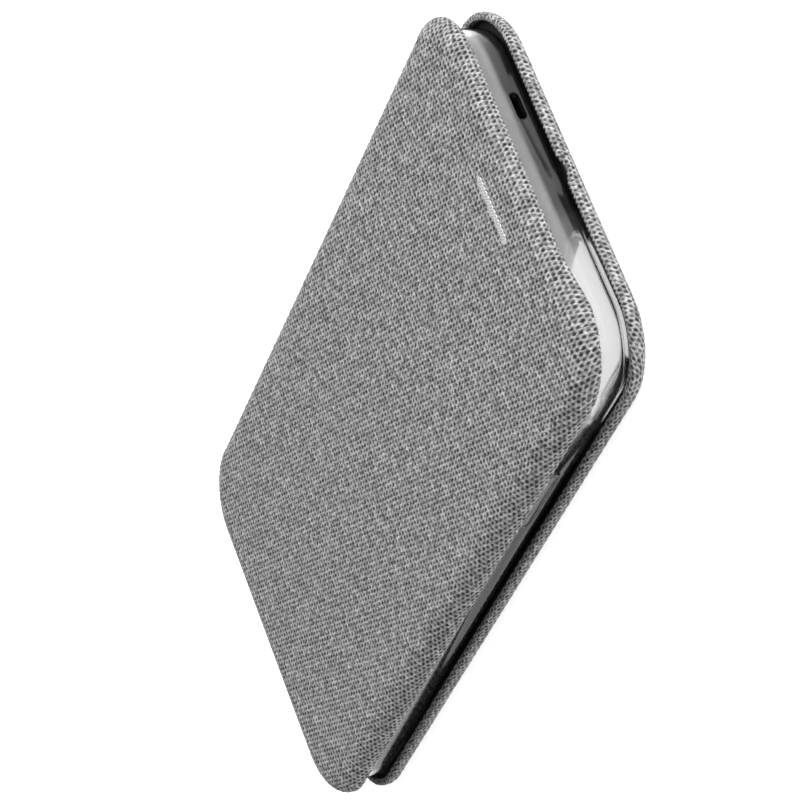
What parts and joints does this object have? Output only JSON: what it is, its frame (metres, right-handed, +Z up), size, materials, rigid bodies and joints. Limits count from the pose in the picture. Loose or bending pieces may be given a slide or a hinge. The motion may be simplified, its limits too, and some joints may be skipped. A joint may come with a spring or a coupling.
{
  "type": "phone folio case",
  "caption": "Book-style phone case in grey woven fabric: padded front cover with earpiece slit, flexible spine, clear phone tray glued into the back cover, camera opening and press buttons.",
  "frame": {"origin": "middle of the closed case's underside, on the surface that it lies on", "axes": "+Z up through the front cover, +Y towards the phone's top end, +X towards the opening edge, with the spine at -X"},
  "size_m": [0.074, 0.156, 0.0128],
  "materials": {
    "woven_fabric": "coarse grey melange plain weave",
    "suede_lining": "short black suede nap",
    "foam": "thin open foam",
    "stiffener_board": "matt moulded board",
    "clear_tpu": "clear glossy flexible plastic",
    "adhesive": "double-sided film",
    "mesh_steel": "fine perforated steel",
    "magnet_steel": "nickel plated"
  },
  "bodies": {
    "back": {"back_fabric": "woven_fabric", "back_board": "stiffener_board", "back_lining": "suede_lining", "adhesive_pad": "adhesive", "back_magnet_upper": "magnet_steel", "back_magnet_lower": "magnet_steel", "tray": "clear_tpu"},
    "spine": {"spine_fabric": "woven_fabric", "spine_board": "stiffener_board", "spine_lining": "suede_lining", "lower_crease": "woven_fabric", "upper_crease": "woven_fabric"},
    "front": {"front_fabric": "woven_fabric", "front_foam": "foam", "front_board": "stiffener_board", "front_lining": "suede_lining", "earpiece_mesh": "mesh_steel", "card_pocket": "suede_lining", "front_magnet_upper": "magnet_steel", "front_magnet_lower": "magnet_steel"},
    "power": {"power_button": "clear_tpu"},
    "volume_up": {"volume_up_button": "clear_tpu"},
    "volume_down": {"volume_down_button": "clear_tpu"}
  },
  "joints": [
    {"name": "spine_hinge", "type": "hinge", "parent": "back", "child": "spine", "pos_m": [-0.0362, 0, 0.0011], "axis": [0, -1, 0], "range_deg": [0, 180]},
    {"name": "cover_hinge", "type": "hinge", "parent": "spine", "child": "front", "pos_m": [-0.0362, 0, 0.0117], "axis": [0, -1, 0], "range_deg": [0, 180]},
    {"name": "power_press", "type": "slide", "parent": "back", "child": "power", "axis": [-1, 0, 0], "range_m": [0, 0.0004], "stiffness_N_per_m": 1500},
    {"name": "volume_up_press", "type": "slide", "parent": "back", "child": "volume_up", "axis": [1, 0, 0], "range_m": [0, 0.0004], "stiffness_N_per_m": 1500},
    {"name": "volume_down_press", "type": "slide", "parent": "back", "child": "volume_down", "axis": [1, 0, 0], "range_m": [0, 0.0004], "stiffness_N_per_m": 1500}
  ]
}
